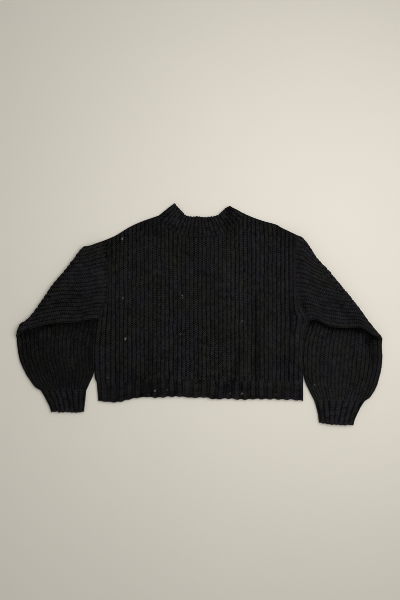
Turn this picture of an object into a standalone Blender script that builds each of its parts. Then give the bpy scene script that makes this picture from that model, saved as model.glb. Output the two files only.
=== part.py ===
# Cropped knit sweater laid flat, face up, with both sleeves folded under themselves.
# Millimetres below, turned into metres where a mesh is made. +X is the wearer's left, +Y the neck, +Z up.
import math

import bpy
import numpy as np

MM = 0.001
COLLECTION_NAME = "cropped_knit_sweater"

# Thickness of the knit and the spaces between its layers
WALL = 4.0
LAYER_GAP = 1.0
SEAM_GAP = 0.3
HEM_SEAM_GAP = 0.5
CORNER_GAP = 1.3
NECK_END_GAP = 1.4

# A flattened tube is two walls that turn into each other at its edges
HALF_WALL = WALL / 2
TURN_RADIUS = (WALL + LAYER_GAP) / 2
PAIR = 2 * WALL + LAYER_GAP
MIDDLE = PAIR / 2

# The sleeve folded under itself is two flattened tubes, one on the other
FOLD_AXIS = PAIR + LAYER_GAP / 2
FOLD_RADIUS = FOLD_AXIS - MIDDLE
FOLD_ZONE = 7.5
UPPER_LEVEL = FOLD_AXIS + FOLD_RADIUS

# How far the front stands up of itself, and how far in from its edges it reaches that
BODY_FULLNESS = 1.2
SWELL_MARGIN = 40.0

# The middle of the whole garment's box on the x and y that the tables below are given in
CENTRE = (-1.59, 0.25)

# Which way each of the wearer's sides lies along x
SIGN = {"right": -1, "left": 1}

HEM_HEIGHT = 46.0
SHOULDER_LENGTH = 145.0

# Where a panel turns down at its side seam or shoulder: distance in from the edge, height over the middle
TURN_IN = (0.0, 0.04, 0.8, 2.4)
TURN_UP = (0.45, 0.95, 1.9, TURN_RADIUS)

# Added to those distances where a turned edge becomes a square one
HALF_SQUARE = 0.6

# The last of a tube before a seam runs straight, so that both of its ends there are square
LIP = 2.0

# How many sections of a sleeve its bent armhole edge takes to straighten out
ARMHOLE_FADE = 3.0

# Faces across each shape
TURN_STEPS = 3
SHOULDER_STEPS = 4
NECK_STEPS = 10
SIDE_STEPS = 6
ARMHOLE_STEPS = 7
BAND_STEPS = 3
CUFF_STEPS = 8
FOLD_STEPS = 6

# Rings of a sleeve before its fold, as shares of the way to it, and after it, as shares of what is left
UPPER_RINGS = (0.0, 0.12, 0.26, 0.43, 0.68)
LOWER_RINGS = (0.18, 0.36, 0.53, 0.70, 0.86, 1.0)

# How finely a sleeve is sampled to find its rings, and the step that a normal is measured over
STATION_SAMPLES = 400
NORMAL_STEP = 1e-4

# Outlines, as the garment lies: x, y from hem or armhole upwards
SIDE_SEAM = {
    "right": [(-262.4, -173.0), (-267.5, -161.0), (-270.0, -127.0), (-271.0, -96.0), (-267.5, -58.0),
             (-262.5, -32.0), (-257.8, -11.9)],
    "left": [(262.4, -173.0), (262.6, -158.0), (261.0, -135.0), (260.2, -108.0), (263.0, -77.0),
              (268.0, -50.0), (275.5, -28.0), (278.1, -14.5)],
}
ARMHOLE = {
    "right": [(-257.8, -11.9), (-246.4, 13.5), (-236.6, 41.4), (-233.7, 74.4), (-233.7, 137.9),
             (-235.2, 170.9), (-236.2, 190.5)],
    "left": [(278.1, -14.5), (263.5, 10.9), (249.6, 33.8), (243.6, 66.8), (243.1, 137.9),
              (243.8, 176.0), (245.1, 200.7)],
}
# x, y from the armhole to the neck
SHOULDER = {
    "right": [(-236.2, 190.5), (-213.4, 200.7), (-182.9, 219.5), (-152.4, 234.2), (-121.9, 245.1),
             (-106.7, 250.4)],
    "left": [(245.1, 200.7), (208.3, 219.2), (193.0, 228.2), (162.6, 236.6), (137.2, 245.4),
              (117.9, 253.5)],
}
# x, y from the left shoulder to the right one
NECK_SEAM = [(-106.7, 250.4), (-84.3, 225.3), (-68.8, 211.8), (-43.7, 201.4), (-6.6, 199.4),
             (34.3, 199.9), (63.2, 207.8), (84.6, 219.5), (101.6, 240.5), (117.9, 253.5)]
NECK_TOP = [(-64.8, 282.6), (-55.1, 272.2), (-45.5, 262.2), (-36.0, 252.0), (-24.0, 249.2),
            (-5.1, 248.9), (18.5, 247.8), (43.0, 251.6), (55.5, 261.6), (65.5, 269.8), (76.0, 275.6)]
HEM_EDGE = [(-258.5, -220.6), (-236.2, -222.8), (-215.9, -222.4), (-175.3, -215.2), (-134.6, -211.4),
            (-73.7, -210.2), (7.6, -213.6), (68.6, -215.2), (109.2, -216.4), (149.9, -215.0),
            (231.1, -216.6), (262.4, -219.4)]

# Where the body rides up on the sleeves folded under its armpits and its left shoulder
LIFT_COLUMNS = ("x", "y", "height", "spread")
LIFTS = [
    (-257.8, -11.9, 4.5, 18.0),
    (278.1, -14.5, 5.5, 18.0),
    (245.1, 200.7, 10.0, 30.0),
]

# Soft folds of the front: the ends of its line, its width, and its height, below zero for a hollow
FRONT_FOLD_COLUMNS = ("x_top", "y_top", "x_low", "y_low", "width", "height")
FRONT_FOLDS = [
    (139.0, -5.0, 141.0, -165.0, 16.0, -1.4),
    (223.0, 25.0, 224.0, -142.0, 18.0, -1.3),
    (113.0, -20.0, 116.0, -165.0, 15.0, 1.2),
    (180.0, -10.0, 182.0, -165.0, 18.0, 1.1),
    (-119.0, -70.0, -122.0, -170.0, 15.0, -1.0),
    (-92.0, -60.0, -90.0, -168.0, 18.0, 0.8),
    (-20.0, 150.0, 15.0, 95.0, 20.0, -0.9),
    (-205.0, 150.0, -190.0, 60.0, 18.0, 0.7),
]

# The edges of each sleeve, a row for each section: the overarm and the underarm point, each 0 above
# the fold or 1 below it
SLEEVE_COLUMNS = ("over_x", "over_y", "over_below", "under_x", "under_y", "under_below")
SLEEVE = {
    "right": [
        (-236.2, 190.5, 0, -257.8, -11.9, 0),
        (-262.0, 182.4, 0, -281.0, -13.5, 0),
        (-286.0, 175.5, 0, -318.0, -20.8, 0),
        (-287.0, 118.0, 1, -362.0, -22.6, 0),
        (-282.5, 62.0, 1, -408.0, -31.8, 0),
        (-279.5, 6.0, 1, -453.0, -51.0, 0),
        (-270.0, -24.0, 1, -465.0, -74.0, 1),
        (-268.5, -54.0, 1, -463.0, -92.0, 1),
        (-273.8, -96.0, 1, -457.6, -118.0, 1),
        (-272.5, -146.0, 1, -441.5, -153.0, 1),
        (-281.5, -177.0, 1, -420.0, -181.0, 1),
        (-288.2, -192.6, 1, -402.4, -193.4, 1),
    ],
    "left": [
        (245.1, 200.7, 0, 278.1, -14.5, 0),
        (263.0, 192.0, 0, 296.0, -15.2, 0),
        (280.0, 176.0, 0, 330.0, -31.0, 0),
        (290.0, 122.0, 1, 372.0, -34.6, 0),
        (291.0, 66.0, 1, 412.0, -33.2, 0),
        (293.0, 6.0, 1, 449.0, -56.0, 0),
        (283.5, -26.0, 1, 463.0, -84.0, 1),
        (268.6, -56.0, 1, 464.0, -106.0, 1),
        (262.6, -104.0, 1, 460.8, -140.0, 1),
        (264.0, -158.0, 1, 449.5, -182.0, 1),
        (276.5, -192.0, 1, 434.5, -208.0, 1),
        (289.8, -217.5, 1, 419.0, -219.5, 1),
    ],
}
# Two points of the line where each sleeve turns under, from its overarm edge to its underarm edge
SLEEVE_FOLD = {
    "right": ((-304.8, 163.3), (-426.7, 0.8)),
    "left": ((278.9, 174.8), (450.3, -37.4)),
}
# How far the roll of that fold stands out past the line: the place along it from 0 to 1, its reach, width
ROLL_COLUMNS = ("place", "reach", "width")
SLEEVE_ROLL = {
    "right": [(1.2, 9.0, 0.09), (0.58, 3.0, 0.2)],
    "left": [(0.15, -6.3, 0.2), (0.98, -4.5, 0.2)],
}
# How far from the fold that reach is felt, and after how many sections it is whole
ROLL_SPREAD = 30.0
ROLL_START = 1.5
# How many sections each sleeve takes to rise from the armhole on to its own lower stretch
ROOT_COLUMNS = ("place", "sections")
ROOT_RISE = {
    "right": [(0.0, 1.45), (1.0, 0.7)],
    "left": [(0.0, 0.3), (0.12, 0.8), (0.35, 1.3), (1.0, 0.6)],
}
# The mouth of each cuff: the inner and the outer corner
CUFF_MOUTH = {
    "right": ((-294.2, -248.4), (-378.5, -249.6)),
    "left": ((302.5, -276.5), (389.6, -282.0)),
}

CHARCOAL = (0.0085, 0.0085, 0.0088, 1.0)
CHARCOAL_RIB = (0.0080, 0.0080, 0.0083, 1.0)
WOOL_ROUGHNESS = 0.95


def make_material(name, colour):
    """A matt wool in one colour."""
    material = bpy.data.materials.new(name)
    material.use_nodes = True
    shader = material.node_tree.nodes["Principled BSDF"]
    shader.inputs["Base Color"].default_value = colour
    shader.inputs["Roughness"].default_value = WOOL_ROUGHNESS
    shader.inputs["Metallic"].default_value = 0.0
    return material


def read(table, columns):
    """A table's columns by their names, each as an array."""
    return dict(zip(columns, np.array(table, float).T))


def smooth_rows(rows, station):
    """The rows of a table read smoothly at fractional row numbers, through every row."""
    rows = np.asarray(rows, float)
    ends = np.vstack([2 * rows[0] - rows[1], rows, 2 * rows[-1] - rows[-2]])
    station = np.asarray(station, float)
    row = np.clip(np.floor(station).astype(int), 0, len(rows) - 2)
    t = (station - row)[..., None]
    a, b, c, d = ends[row], ends[row + 1], ends[row + 2], ends[row + 3]
    return b + t * (c - a + t * (2 * a - 5 * b + 4 * c - d + t * (3 * (b - c) + d - a))) / 2


def along(points, place):
    """Points of the smooth curve through these, at places from 0 to 1 of its length."""
    steps = np.linalg.norm(np.diff(np.asarray(points, float), axis=0), axis=1)
    reached = np.concatenate([[0], np.cumsum(steps)]) / steps.sum()
    return smooth_rows(points, np.interp(place, reached, np.arange(len(points))))


def seam_line(points, steps, place, shift=0.0):
    """A seam as both pieces have it: straight between evenly spaced points of its curve, moved to its left."""
    even = np.linspace(0, 1, steps + 1)
    corners = along(points, even)
    run = np.gradient(corners, axis=0)
    left_of = np.stack([-run[:, 1], run[:, 0]], axis=1)
    corners = corners + shift * left_of / np.linalg.norm(run, axis=1)[:, None]
    return np.stack([np.interp(place, even, corners[:, axis]) for axis in (0, 1)], axis=-1)


def blend(value):
    """0 below 0, 1 above 1, with a smooth rise between."""
    value = np.clip(value, 0, 1)
    return value * value * (3 - 2 * value)


def lift(x, y):
    """How far the body and the sleeves' roots ride up at a place."""
    spot = read(LIFTS, LIFT_COLUMNS)
    apart = (x[..., None] - spot["x"]) ** 2 + (y[..., None] - spot["y"]) ** 2
    return (spot["height"] * np.exp(-apart / (2 * spot["spread"] ** 2))).sum(axis=-1)


def fold_height(x, y):
    """The sum of the front's soft ridges and hollows, each round the line between its two ends."""
    fold = read(FRONT_FOLDS, FRONT_FOLD_COLUMNS)
    run_x = fold["x_low"] - fold["x_top"]
    run_y = fold["y_low"] - fold["y_top"]
    length = np.hypot(run_x, run_y)
    from_x = x[..., None] - fold["x_top"]
    from_y = y[..., None] - fold["y_top"]
    place = (from_x * run_x + from_y * run_y) / length**2
    off = (from_x * run_y - from_y * run_x) / length
    past = np.maximum(np.abs(place - 0.5) - 0.5, 0) * length
    bell = np.exp(-2 * (off**2 + past**2) / fold["width"] ** 2)
    return (fold["height"] * bell).sum(axis=-1)


def add_wall(name, points, closed_round, material):
    """A wall of even thickness on a grid of points, open at the ends of its rows and closed round if told."""
    rows, columns = points.shape[:2]
    number = np.arange(rows * columns).reshape(rows, columns)
    if closed_round:
        number = np.hstack([number, number[:, :1]])
    corners = (number[:-1, :-1], number[:-1, 1:], number[1:, 1:], number[1:, :-1])
    faces = np.stack([corner.ravel() for corner in corners], axis=1)
    placed = (points - np.array((*CENTRE, 0.0))) * MM
    mesh = bpy.data.meshes.new(name)
    mesh.from_pydata(placed.reshape(-1, 3).tolist(), [], faces.tolist())
    mesh.shade_smooth()
    mesh.materials.append(material)
    part = bpy.data.objects.new(name, mesh)
    collection.objects.link(part)
    wall = part.modifiers.new("wall", "SOLIDIFY")
    wall.thickness = WALL * MM
    wall.offset = 0.0
    return part


def turned_steps(span):
    """The distances in from an edge where a panel turns, as shares of a span."""
    return np.array(TURN_IN) / span


def rise_from_edge(distance):
    """The height over the middle of a panel that turns a quarter round at its edge, at a distance in from it."""
    return np.interp(distance, TURN_IN, TURN_UP)


def coons(bottom, top, left, right, u, v):
    """The patch that fills four edges: bottom and top at each u, left and right at each v."""
    u = u[None, :, None]
    v = v[:, None, None]
    across = (1 - v) * bottom[None] + v * top[None] + (1 - u) * left[:, None] + u * right[:, None]
    corners = (1 - u) * ((1 - v) * bottom[0] + v * top[0]) + u * ((1 - v) * bottom[-1] + v * top[-1])
    return across - corners


def panel_top():
    """The mid wall's upper edge from shoulder to shoulder, and how square each of its points ends."""
    near = turned_steps(SHOULDER_LENGTH) + CORNER_GAP / SHOULDER_LENGTH
    shoulder = np.concatenate([near[:-1], np.linspace(near[-1], 1, SHOULDER_STEPS + 1)])
    neck = np.linspace(0, 1, NECK_STEPS + 1)
    inset = np.array((0, HALF_WALL))
    top = np.vstack([
        along(SHOULDER["right"], shoulder[:-1]) - inset,
        seam_line(NECK_SEAM, NECK_STEPS, neck, -SEAM_GAP / 2),
        along(SHOULDER["left"], shoulder[-2::-1]) - inset,
    ])
    square = np.zeros(len(top))
    square[len(shoulder) - 2:2 - len(shoulder)] = HALF_SQUARE
    square[len(shoulder) - 1:1 - len(shoulder)] = TURN_RADIUS
    return top, square


def panel_bottom(top):
    """The line between panel and hem rib, at the same share of the width as each point of the upper edge."""
    share = (top[:, 0] - top[0, 0]) / (top[-1, 0] - top[0, 0])
    start = SIDE_SEAM["right"][0][0] + HALF_WALL
    end = SIDE_SEAM["left"][0][0] - HALF_WALL
    x = start + share * (end - start)
    edge = np.array(HEM_EDGE)
    return np.stack([x, np.interp(x, edge[:, 0], edge[:, 1]) + HEM_HEIGHT], axis=1)


def panel_points(side_of_pair, full):
    """The mid wall of the front, side_of_pair 1, or of the back, -1, from the hem rib to shoulders and neck."""
    top, square_top = panel_top()
    bottom = panel_bottom(top) + np.array((0, HEM_SEAM_GAP / 2))
    u = (top[:, 0] - top[0, 0]) / (top[-1, 0] - top[0, 0])

    sides = {}
    for side in SIGN:
        seam = along(SIDE_SEAM[side], np.linspace(0, 1, SIDE_STEPS + 1))
        armhole = along(ARMHOLE[side], np.linspace(0, 1, ARMHOLE_STEPS + 1))[1:-1]
        corner = top[0] if side == "right" else top[-1]
        last = corner - (corner - armhole[-1]) * turned_steps(corner[1] - armhole[-1][1])[::-1, None]
        edge = np.vstack([seam, armhole, last])
        inward = np.where(np.arange(len(edge)) < SIDE_STEPS - 1, HALF_WALL, SEAM_GAP / 2)
        inward[SIDE_STEPS] = CORNER_GAP
        inward[-len(last):] = 0
        sides[side] = edge - np.stack([SIGN[side] * inward, np.zeros(len(edge))], axis=1)
    heights = (sides["right"][:, 1] + sides["left"][:, 1]) / 2
    v = (heights - heights[0]) / (heights[-1] - heights[0])

    sides["right"][0] = bottom[0]
    sides["left"][0] = bottom[-1]
    flat = coons(bottom, top, sides["right"], sides["left"], u, v)
    x, y = flat[..., 0], flat[..., 1]
    square_side = np.zeros((len(v), 1))
    square_side[SIDE_STEPS - 2:] = HALF_SQUARE
    square_side[SIDE_STEPS - 1:] = TURN_RADIUS
    from_side = np.minimum(x - x[:, :1], x[:, -1:] - x)
    from_top = y[-1:] - y
    rise = rise_from_edge(np.minimum(from_side + square_side, from_top + square_top))
    inside = blend((np.minimum(from_side, from_top) - TURN_RADIUS) / SWELL_MARGIN)
    swell = full * inside * (BODY_FULLNESS + fold_height(x, y))
    z = MIDDLE + lift(x, y) + side_of_pair * (rise + swell)
    return np.dstack([x, y, z])


def hem_points(side_of_pair):
    """The mid wall of the ribbed hem of one panel, from the panel's lower edge to the open edge."""
    high = panel_bottom(panel_top()[0]) - np.array((0, HEM_SEAM_GAP / 2))
    share = (high[:, 0] - high[0, 0]) / (high[-1, 0] - high[0, 0])
    edge = np.array(HEM_EDGE)
    low_x = edge[0, 0] + HALF_WALL + share * (edge[-1, 0] - edge[0, 0] - WALL)
    low = np.stack([low_x, np.interp(low_x, edge[:, 0], edge[:, 1])], axis=1)
    down = np.linspace(0, 1, BAND_STEPS + 1)[:, None, None]
    flat = high + (low - high) * down
    x = flat[..., 0]
    rise = rise_from_edge(np.minimum(x - x[:, :1], x[:, -1:] - x))
    return np.dstack([flat, MIDDLE + side_of_pair * rise])


def round_tube(steps, width):
    """For each point round a flattened tube, its share of the width, what to add to that and its height.

    The points of the flat faces are spaced so that they stand at even shares of the width given."""
    reach = HALF_WALL + TURN_RADIUS
    turn = np.radians(np.linspace(-90, 90, 2 * TURN_STEPS + 1))
    even = np.linspace(0, 1, steps + 1)[1:-1]
    level = (even - reach / width) / (1 - 2 * reach / width)
    near = reach - TURN_RADIUS * np.cos(turn)
    flat_added = reach - 2 * reach * level
    added = np.concatenate([near, flat_added, -near, flat_added[::-1]])
    share = np.concatenate([np.zeros(len(near)), level, np.ones(len(near)), level[::-1]])
    flat = np.full(len(level), TURN_RADIUS)
    height = np.concatenate([TURN_RADIUS * np.sin(turn), flat, -TURN_RADIUS * np.sin(turn), -flat])
    return share, added, height


def off_sheet(sheet, place, ring, height):
    """The points of a sheet moved off it along its normal by a height for each."""
    over = sheet(place + NORMAL_STEP, ring) - sheet(place - NORMAL_STEP, ring)
    on = sheet(place, ring + NORMAL_STEP) - sheet(place, ring - NORMAL_STEP)
    normal = np.cross(over, on)
    normal /= np.linalg.norm(normal, axis=2, keepdims=True)
    return sheet(place, ring) + normal * height[..., None]


def band_points(sheet, steps, width_at):
    """The mid wall of a straight ribbed tube laid flat on a sheet, from its seam to its open edge."""
    share, added, height = round_tube(steps, width_at(0))
    ring = np.linspace(0, 1, BAND_STEPS + 1)[:, None]
    place = share + added / width_at(ring)
    ring = np.broadcast_to(ring, place.shape)
    return off_sheet(sheet, place, ring, np.broadcast_to(height, place.shape))


def neck_sheet(place, ring):
    """The middle of the neckband: ring 0 is the neck seam, ring 1 the open top edge."""
    shift = np.full((NECK_STEPS + 1, 1), SEAM_GAP / 2)
    shift[[0, -1]] = NECK_END_GAP
    seam = seam_line(NECK_SEAM, NECK_STEPS, place, shift)
    top = along(NECK_TOP, place)
    flat = seam + (top - seam) * ring[..., None]
    return np.dstack([flat, np.full(place.shape, MIDDLE)])


def fold_frame(side):
    """A point of the sleeve's fold, the way along it and the way out across it."""
    start, end = (np.array(point) for point in SLEEVE_FOLD[side])
    line = (end - start) / np.linalg.norm(end - start)
    out = -SIGN[side] * np.array((line[1], -line[0]))
    return start - HALF_WALL * out, line, out


def unfolded_edges(side):
    """The overarm and underarm points of each sleeve section, with those below the fold swung out flat."""
    start, _, out = fold_frame(side)
    section = read(SLEEVE[side], SLEEVE_COLUMNS)
    edges = []
    for edge in ("over", "under"):
        points = np.stack([section[edge + "_x"], section[edge + "_y"]], axis=1)
        past = (points - start) @ out
        edges.append(points - 2 * (section[edge + "_below"] * past)[:, None] * out)
    return edges


def sleeve_flat(side, place, station):
    """The sleeve's sheet swung out flat: from overarm, place 0, to underarm, 1, at each section number."""
    over, under = unfolded_edges(side)
    first = smooth_rows(over, station)
    last = smooth_rows(under, station)
    straight = first + (last - first) * place[..., None]
    armhole = seam_line(ARMHOLE[side][::-1], ARMHOLE_STEPS, place)
    bow = armhole - (over[0] + (under[0] - over[0]) * place[..., None])
    bow[..., 0] += SIGN[side] * (SEAM_GAP / 2 + LIP)
    return straight + bow * (1 - blend(station / ARMHOLE_FADE))[..., None]


def root_rise(side, place, station):
    """0 where the sleeve leaves the armhole, 1 where it lies on its own lower stretch."""
    rise = read(ROOT_RISE[side], ROOT_COLUMNS)
    return blend(station / np.interp(place, rise["place"], rise["sections"]))


def fold_under(side, flat, place, station):
    """Turns the flat sleeve under itself: points past the fold go round its roll, and then lie below."""
    start, line, out = fold_frame(side)
    past = (flat - start) @ out
    along_line = (flat - start) @ line
    roll = read(SLEEVE_ROLL[side], ROLL_COLUMNS)
    position = along_line / math.dist(*SLEEVE_FOLD[side])
    bulge = roll["reach"] * np.exp(-(((position[..., None] - roll["place"]) / roll["width"]) ** 2))
    reach = bulge.sum(axis=-1) * np.exp(-((past / ROLL_SPREAD) ** 2)) * blend(station / ROLL_START)

    turn = np.clip((past / FOLD_ZONE + 1) * math.pi / 2, 0, math.pi)
    beyond = np.maximum(np.abs(past) - FOLD_ZONE, 0)
    axis = -FOLD_ZONE + reach
    offset = axis + FOLD_RADIUS * np.sin(turn) - beyond
    root = MIDDLE + lift(flat[..., 0], flat[..., 1]) - UPPER_LEVEL
    level = FOLD_AXIS + FOLD_RADIUS * np.cos(turn)
    level = level + root * (1 - root_rise(side, place, station)) * (turn <= 0)
    plane = start + along_line[..., None] * line + offset[..., None] * out
    return np.dstack([plane, level])


def sleeve_sheet(side):
    """The middle of one sleeve, folded, as a function of the place across it and the section number."""
    def sheet(place, station):
        return fold_under(side, sleeve_flat(side, place, station), place, station)
    return sheet


def sleeve_rings(side, places):
    """Section numbers at each place across, ring by ring, so that the rings run along the fold where it turns."""
    start, _, out = fold_frame(side)
    stations = np.linspace(0, len(SLEEVE[side]) - 1, STATION_SAMPLES)
    turn = np.linspace(-FOLD_ZONE, FOLD_ZONE, FOLD_STEPS + 1)
    rings = np.empty((len(UPPER_RINGS) + len(turn) + len(LOWER_RINGS), len(places)))
    for column, place in enumerate(places):
        flat = sleeve_flat(side, np.full(stations.shape, place), stations)
        past = np.maximum.accumulate((flat - start) @ out)
        before = past[0] + np.array(UPPER_RINGS) * (-FOLD_ZONE - past[0])
        after = FOLD_ZONE + np.array(LOWER_RINGS) * (past[-1] - FOLD_ZONE)
        rings[:, column] = np.interp(np.concatenate([before, turn, after]), past, stations)
    return rings


def sleeve_points(side):
    """The mid wall of one sleeve, from the armhole round its fold to the cuff."""
    over, under = unfolded_edges(side)
    first_width = np.linalg.norm(over[0] - under[0])
    share, added, height = round_tube(ARMHOLE_STEPS, first_width)
    station = sleeve_rings(side, share + added / first_width)
    width = np.linalg.norm(smooth_rows(over, station) - smooth_rows(under, station), axis=2)
    place = share + added / width
    points = off_sheet(sleeve_sheet(side), place, station, np.broadcast_to(height, place.shape))
    root = points[:1] - np.array((SIGN[side] * LIP, 0, 0))
    end = points[-1:] - np.array((0, LIP, 0))
    return np.concatenate([root, points, end])


def cuff_points(side):
    """The mid wall of one cuff, from the gathered end of the sleeve to its open mouth."""
    section = read(SLEEVE[side], SLEEVE_COLUMNS)
    below = np.array((0, 2 * LIP + SEAM_GAP))
    inner = np.array((section["over_x"][-1], section["over_y"][-1])) - below
    outer = np.array((section["under_x"][-1], section["under_y"][-1])) - below
    low_inner, low_outer = (np.array(point) for point in CUFF_MOUTH[side])

    def sheet(place, ring):
        high = inner + (outer - inner) * place[..., None]
        low = low_inner + (low_outer - low_inner) * place[..., None]
        narrow = 1 - (1 - ring[..., None]) ** 2
        flat = high + (low - high) * np.concatenate([narrow, ring[..., None]], axis=-1)
        return np.dstack([flat, np.full(place.shape, MIDDLE)])

    top_width = np.linalg.norm(outer - inner)
    low_width = np.linalg.norm(low_outer - low_inner)
    points = band_points(sheet, CUFF_STEPS, lambda ring: top_width + ring * (low_width - top_width))
    return np.concatenate([points[:1] + np.array((0, LIP, 0)), points])


def neck_points():
    """The mid wall of the neckband, from the neck seam to its open top edge."""
    base_width = float(np.linalg.norm(np.diff(np.array(NECK_SEAM), axis=0), axis=1).sum())
    top_width = float(np.linalg.norm(np.diff(np.array(NECK_TOP), axis=0), axis=1).sum())
    return band_points(neck_sheet, NECK_STEPS, lambda ring: base_width + ring * (top_width - base_width))


for old in list(bpy.data.objects):
    bpy.data.objects.remove(old, do_unlink=True)
collection = bpy.data.collections.new(COLLECTION_NAME)
bpy.context.scene.collection.children.link(collection)

knit = make_material("charcoal_knit", CHARCOAL)
rib = make_material("charcoal_rib", CHARCOAL_RIB)

add_wall("body_front", panel_points(1, 1.0), False, knit)
add_wall("body_back", panel_points(-1, 0.0), False, knit)
add_wall("hem_rib_front", hem_points(1), False, rib)
add_wall("hem_rib_back", hem_points(-1), False, rib)
add_wall("neckband", neck_points(), True, rib)
for side in SIGN:
    add_wall("sleeve_" + side, sleeve_points(side), True, knit)
    add_wall("cuff_" + side, cuff_points(side), True, rib)
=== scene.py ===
import math

import bpy
import numpy as np
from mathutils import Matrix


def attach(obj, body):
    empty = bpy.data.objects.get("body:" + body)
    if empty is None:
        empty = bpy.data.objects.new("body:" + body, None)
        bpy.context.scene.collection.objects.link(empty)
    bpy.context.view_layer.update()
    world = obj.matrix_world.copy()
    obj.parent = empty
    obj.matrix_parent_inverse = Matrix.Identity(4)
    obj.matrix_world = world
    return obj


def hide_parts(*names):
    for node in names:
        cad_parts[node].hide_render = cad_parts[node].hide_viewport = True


# A cropped knit sweater laid flat, face up, with both sleeves folded under themselves.
# Tables are in millimetres as the garment lies, meshes in metres. Right and left are the wearer's.
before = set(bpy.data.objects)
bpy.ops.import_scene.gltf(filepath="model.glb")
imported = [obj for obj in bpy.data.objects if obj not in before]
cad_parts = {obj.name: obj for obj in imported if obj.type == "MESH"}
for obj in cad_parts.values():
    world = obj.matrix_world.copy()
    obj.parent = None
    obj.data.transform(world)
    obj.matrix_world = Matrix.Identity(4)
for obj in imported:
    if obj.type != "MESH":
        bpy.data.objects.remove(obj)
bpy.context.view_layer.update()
print("frame loaded:", ", ".join(sorted(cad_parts)))

mm = 0.001
quarter = math.pi / 2

cloth = {
    "wall": 4.0,  # thickness of the knit
    "layerGap": 1.0,  # between two layers that lie on each other
    "seamGap": 0.15,  # from a seam's middle to each of its pieces
    "joinGap": 0.05,  # and from the line where one piece is knitted on to the next
    "centre": (-1.59, 0.25),  # the middle of the whole garment on the tables' x and y
    "proud": 0.3,  # how far the stitches stand out of the plain solid's face
    "seamRoll": 1.0,  # radius of an edge that is sewn
    "joinRoll": 0.2,  # radius of an edge that is knitted on
    "turnShare": 0.02,  # share of an edge over which it changes from turned to sewn
    "lips": (1.0, 3.0),  # how far each row past a sewn edge runs down inside it
    "openLips": (0.8, 1.7, 2.5, 3.2, 4.5, 8.0, 13.0),  # round an open edge and in along its inner face
    "lipFade": 5.0,  # how far round it the stitches reach
    "fullness": 1.4,  # how far the front stands up of itself
    "swellStart": 2.5,  # how far in from its edges that begins
    "swellMargin": 40.0,  # and over what width it grows
    "uneven": 0.7,  # how much wide patches of it stand higher or lower
    "patch": 48.0,  # size of such a patch
    "lowest": 0.02,  # no stitch goes under this
    "scallop": 0.4,  # how far each rib's crest stands out past an open edge
    "ragged": 1.8,  # how much that edge wanders
    "raggedSize": 0.7,  # how often it does so, for each rib
}
skin = cloth["wall"] + cloth["layerGap"] / 2  # from the middle of a flat tube to its outer face
middle = skin
foldAxis = 2 * skin + cloth["layerGap"] / 2  # height of the roll where a sleeve turns under
foldRadius = foldAxis - middle
upperLevel = foldAxis + foldRadius
leastHalf = 0.3  # no face comes nearer than this to its tube's middle
lips, openLips = cloth["lips"], cloth["openLips"]
sides = {"right": -1, "left": 1}

outline = {
    "hemHeight": 46,
    "sideSeam": {  # x, y from the hem rib up to the armpit
        "right": [(-262.4, -173), (-267.5, -161), (-270, -127), (-271, -96), (-267.5, -58), (-262.5, -32),
                  (-257.8, -11.9)],
        "left": [(262.4, -173), (262.6, -158), (261, -135), (260.2, -108), (263, -77), (268, -50),
                 (275.5, -28), (278.1, -14.5)],
    },
    "armhole": {  # x, y from the armpit up to the shoulder's tip
        "right": [(-257.8, -11.9), (-246.4, 13.5), (-236.6, 41.4), (-233.7, 74.4), (-233.7, 137.9),
                  (-235.2, 170.9), (-236.2, 190.5)],
        "left": [(278.1, -14.5), (263.5, 10.9), (249.6, 33.8), (243.6, 66.8), (243.1, 137.9), (243.8, 176),
                 (245.1, 200.7)],
    },
    "shoulder": {  # x, y from its tip to the neck
        "right": [(-236.2, 190.5), (-213.4, 200.7), (-182.9, 219.5), (-152.4, 234.2), (-121.9, 245.1),
                  (-106.7, 250.4)],
        "left": [(245.1, 200.7), (208.3, 219.2), (193, 228.2), (162.6, 236.6), (137.2, 245.4),
                 (117.9, 253.5)],
    },
    "neckSeam": [(-106.7, 250.4), (-84.3, 225.3), (-68.8, 211.8), (-43.7, 201.4), (-6.6, 199.4),
                 (34.3, 199.9), (63.2, 207.8), (84.6, 219.5), (101.6, 240.5), (117.9, 253.5)],
    "neckTop": [(-64.8, 282.6), (-55.1, 272.2), (-45.5, 262.2), (-36, 252), (-24, 249.2), (-5.1, 248.9),
                (18.5, 247.8), (43, 251.6), (55.5, 261.6), (65.5, 269.8), (76, 275.6)],
    "hemEdge": [(-258.5, -221.6), (-236.2, -224.8), (-215.9, -224.2), (-175.3, -215.8), (-134.6, -212),
                (-73.7, -209.2), (7.6, -212.6), (68.6, -216.6), (109.2, -216.4), (149.9, -215),
                (231.1, -216.6), (262.4, -219.4)],
}

# Where the body rides up on the folded sleeves, at both armpits and one shoulder: x, y, height, spread
lifts = [(-257.8, -11.9, 4.5, 18), (278.1, -14.5, 5.5, 18), (245.1, 200.7, 10, 30)]

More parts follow.
